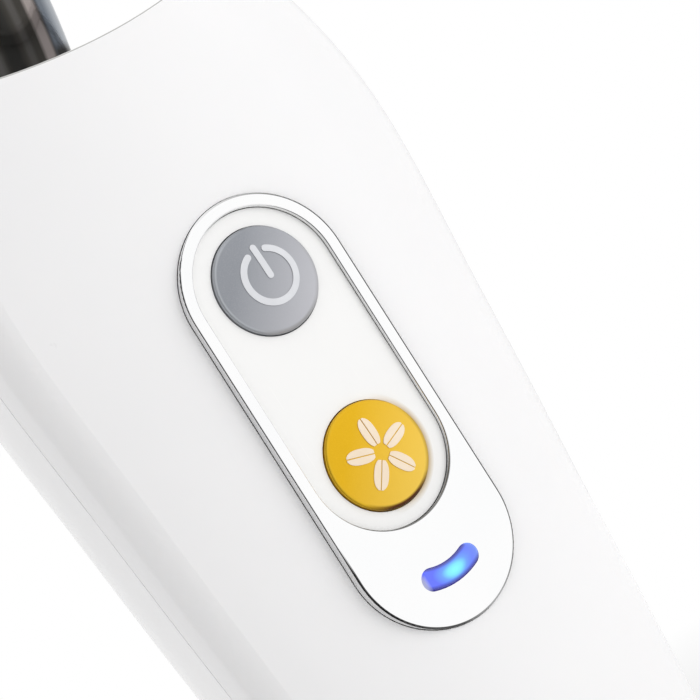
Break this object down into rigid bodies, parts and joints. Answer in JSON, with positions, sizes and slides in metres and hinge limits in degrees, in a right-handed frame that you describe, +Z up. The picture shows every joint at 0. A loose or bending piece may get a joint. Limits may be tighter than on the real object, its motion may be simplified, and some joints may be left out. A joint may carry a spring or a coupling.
{
  "type": "wand massager",
  "caption": "Cordless wand massager: tapered white body with a chrome control panel, bent chrome neck and padded vibrating head.",
  "frame": {"origin": "centre of the flat end of the tail, on which the wand stands", "axes": "+Z up the wand from tail to head, -Y the front with the control panel, +X to the right seen from the front"},
  "size_m": [0.0534, 0.047, 0.2369],
  "materials": {
    "body_white": "glossy",
    "deck_white": "semi-gloss",
    "chrome": "polished",
    "plate_white": "semi-gloss",
    "button_silver": "satin",
    "button_gold": "satin",
    "lens_clear": "clear",
    "light_blue": "lit",
    "silicone_pad": "soft matt",
    "rubber_dark": "matt",
    "steel": "bright",
    "core_plastic": "matt",
    "black_plastic": "matt",
    "board_green": "satin",
    "connector_cream": "matt",
    "cell_body": "wrapped in a thin sleeve",
    "nickel": "bright",
    "bronze": "sintered",
    "magnet": "matt",
    "wire_sleeve": "satin"
  },
  "bodies": {
    "handle": {"front_shell": "body_white", "rear_shell": "body_white", "tail_cap": "body_white", "shell_screws": "steel", "charge_socket": "black_plastic", "charge_pin": "nickel", "socket_leads": "wire_sleeve", "top_deck": "deck_white", "neck_grommet": "rubber_dark", "neck_tube": "chrome", "neck_clamp": "core_plastic", "clamp_screws": "steel", "control_bezel": "chrome", "control_plate": "plate_white", "power_switch": "black_plastic", "mode_switch": "black_plastic", "light_lens": "lens_clear", "status_light": "light_blue", "control_board": "board_green", "board_screws": "steel", "lead_connector": "connector_cream", "charge_connector": "connector_cream", "battery_cell": "cell_body", "cell_tabs": "nickel", "battery_cradle": "core_plastic", "cell_leads": "wire_sleeve", "motor_leads": "wire_sleeve", "neck_ferrule": "chrome", "neck_nut": "steel", "head_base": "body_white", "head_screws": "steel", "head_ring": "chrome", "head_core": "core_plastic", "head_pad": "silicone_pad", "motor_can": "steel", "motor_end_bell": "core_plastic", "motor_bushes": "bronze", "motor_terminals": "nickel", "motor_magnets": "magnet", "motor_sleeve": "rubber_dark"},
    "power_press": {"power_button": "button_silver", "power_plunger": "black_plastic"},
    "mode_press": {"mode_button": "button_gold", "mode_plunger": "black_plastic"},
    "rotor": {"motor_armature": "steel", "motor_shaft": "steel", "eccentric_weight": "bronze"}
  },
  "joints": [
    {"name": "power_push", "type": "slide", "parent": "handle", "child": "power_press", "axis": [0, 1, 0], "range_m": [0, 0.0006], "stiffness_N_per_m": 900, "springref_m": -0.0003},
    {"name": "mode_push", "type": "slide", "parent": "handle", "child": "mode_press", "axis": [0, 1, 0], "range_m": [0, 0.0006], "stiffness_N_per_m": 900, "springref_m": -0.0003},
    {"name": "rotor_spin", "type": "hinge", "parent": "handle", "child": "rotor", "pos_m": [0, 0.00338, 0.20947], "axis": [0, 0, 1], "continuous": true}
  ]
}
